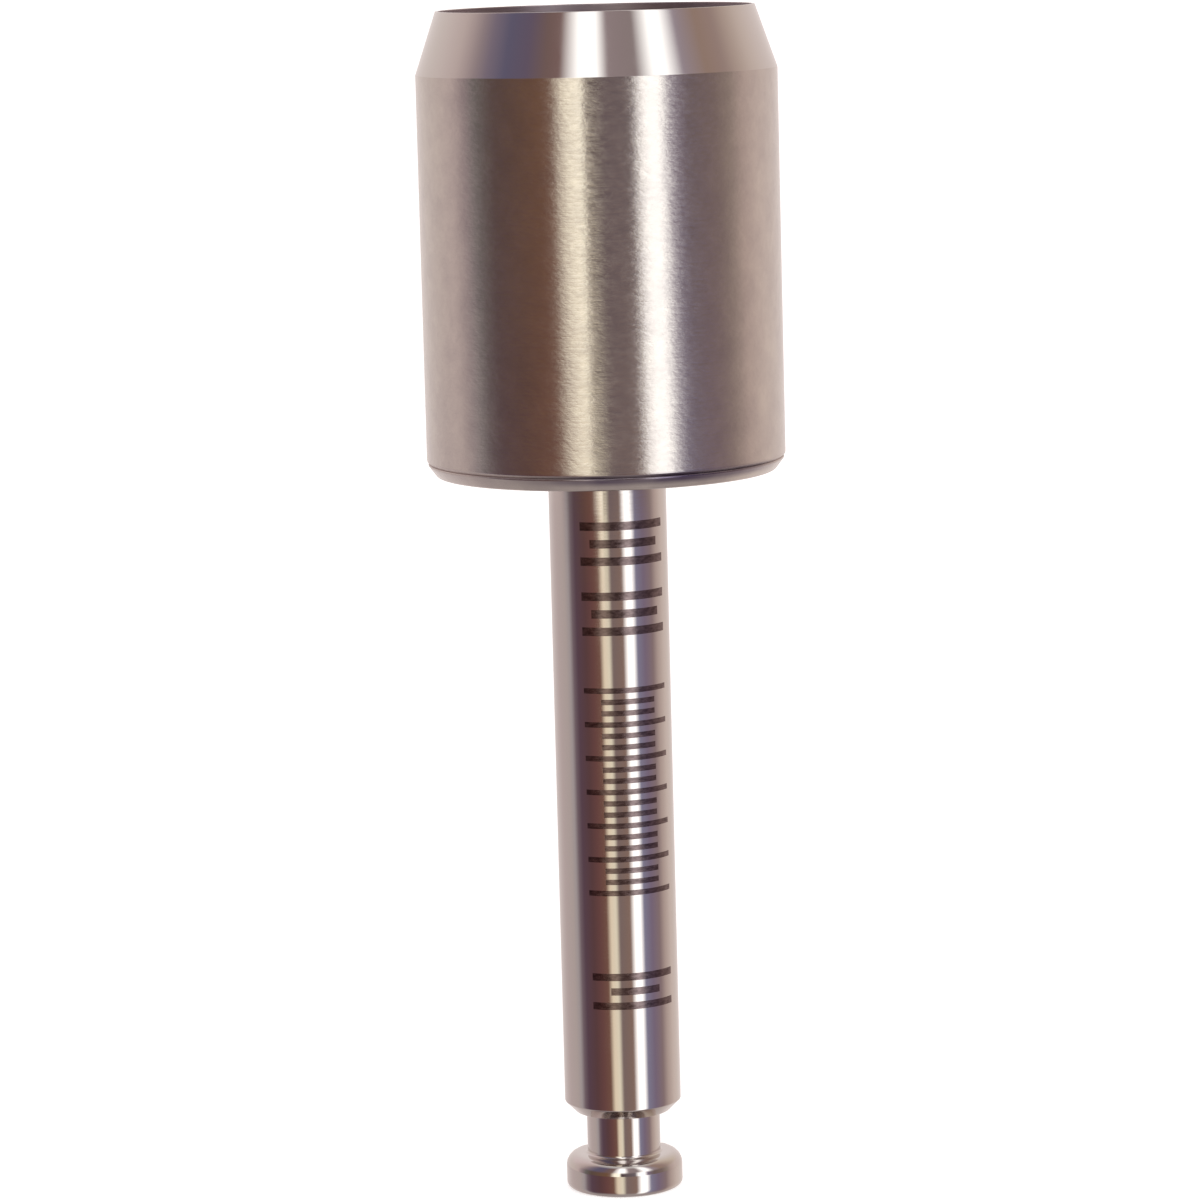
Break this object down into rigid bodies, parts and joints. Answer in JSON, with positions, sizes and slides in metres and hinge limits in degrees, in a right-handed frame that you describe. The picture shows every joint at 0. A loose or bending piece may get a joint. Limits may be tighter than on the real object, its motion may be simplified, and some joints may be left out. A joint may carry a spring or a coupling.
{
  "type": "latch-shank ring punch",
  "caption": "Small rotary ring punch: a hollow cylindrical head with a bevelled open mouth on a straight latch-type shank with an end button, a neck groove and a driving flat.",
  "frame": {"origin": "centre of the shank's end face, the lowest point of the tool", "axes": "+Z along the axis from the shank's end to the open mouth of the cup; +Y out of the shank's driving flat; +X completes the right-handed frame"},
  "size_m": [0.0072, 0.0072, 0.0238],
  "materials": {
    "polished_steel": "polished",
    "satin_steel": "satin",
    "braze": "satin"
  },
  "bodies": {
    "root": {"latch_shank": "polished_steel", "end_cap": "satin_steel", "cutting_sleeve": "satin_steel", "seam_braze": "braze", "shank_braze": "braze", "spigot_braze": "braze"}
  },
  "joints": []
}
